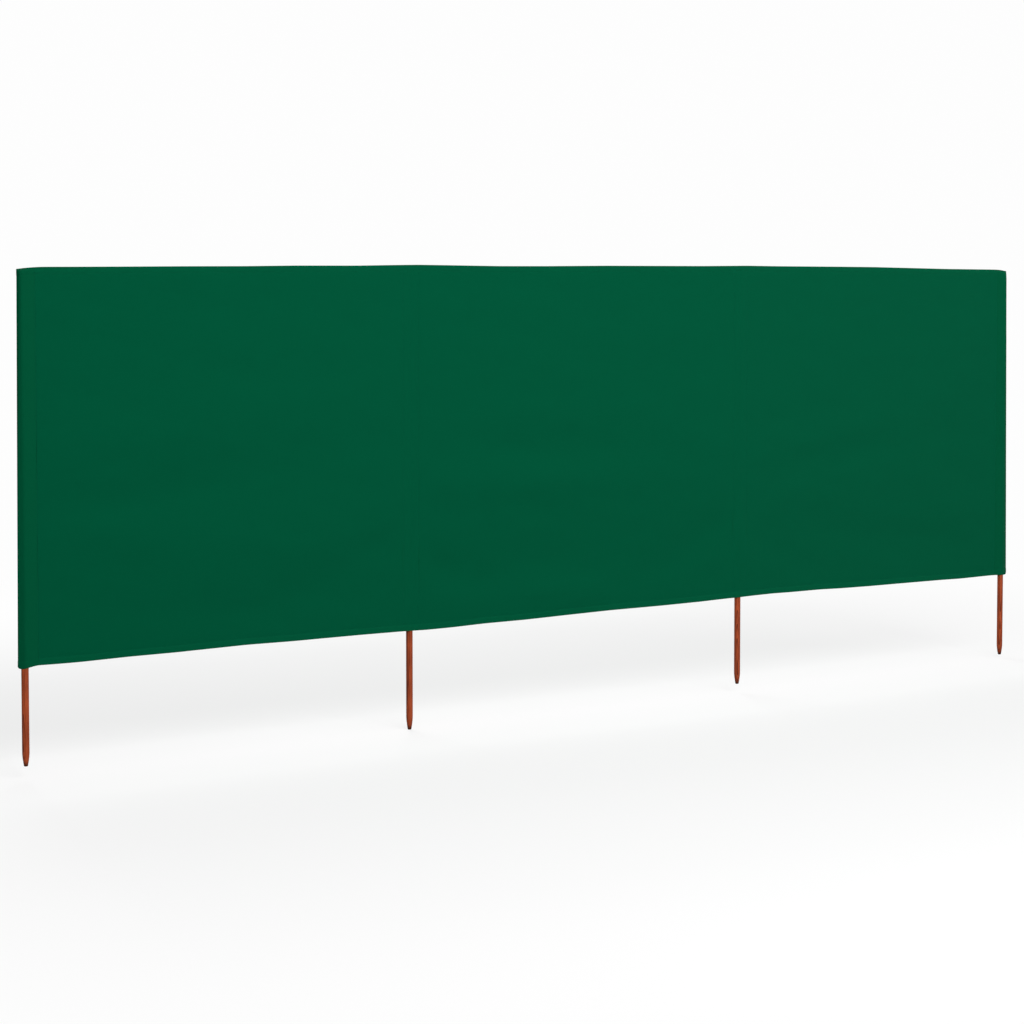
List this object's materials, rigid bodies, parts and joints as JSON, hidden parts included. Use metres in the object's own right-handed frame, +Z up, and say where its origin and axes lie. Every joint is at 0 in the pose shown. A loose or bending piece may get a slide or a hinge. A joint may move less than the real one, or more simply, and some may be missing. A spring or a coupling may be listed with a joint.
{
  "type": "beach windbreak",
  "caption": "Standing cloth windbreak in joined bays, carried by round pointed wooden poles in sewn sleeves and folding at the poles.",
  "frame": {"origin": "centre of the flat tip of pole 2, the second pole from the left, at the lowest point of the windbreak", "axes": "+X along the row from the left end to the right end, on the middle bay; +Y from the front face to the back; +Z up along the poles"},
  "size_m": [4.0198, 0.186, 1.538],
  "materials": {
    "stained_wood": "satin stain on turned softwood dowel",
    "green_cloth": "plain woven polyester, matt",
    "hem_cloth": "folded and stitched woven polyester, matt",
    "sleeve_cloth": "sewn sleeve of woven polyester, matt"
  },
  "bodies": {
    "middle_bay": {"fabric_bay_2": "green_cloth", "top_hem_2": "hem_cloth", "bottom_hem_2": "hem_cloth", "pole_2": "stained_wood", "pole_3": "stained_wood", "sleeve_2": "sleeve_cloth", "sleeve_3": "sleeve_cloth", "sleeve_cap_2": "sleeve_cloth", "sleeve_cap_3": "sleeve_cloth"},
    "left_bay": {"fabric_bay_1": "green_cloth", "top_hem_1": "hem_cloth", "bottom_hem_1": "hem_cloth", "pole_1": "stained_wood", "sleeve_1": "sleeve_cloth", "sleeve_cap_1": "sleeve_cloth"},
    "right_bay": {"fabric_bay_3": "green_cloth", "top_hem_3": "hem_cloth", "bottom_hem_3": "hem_cloth", "pole_4": "stained_wood", "sleeve_4": "sleeve_cloth", "sleeve_cap_4": "sleeve_cloth"}
  },
  "joints": [
    {"name": "left_bay_fold", "type": "hinge", "parent": "middle_bay", "child": "left_bay", "pos_m": [0, 0, 0], "axis": [0, 0, 1], "range_deg": [-90, 160]},
    {"name": "right_bay_fold", "type": "hinge", "parent": "middle_bay", "child": "right_bay", "pos_m": [1.333, 0, 0], "axis": [0, 0, 1], "range_deg": [-90, 160]}
  ]
}
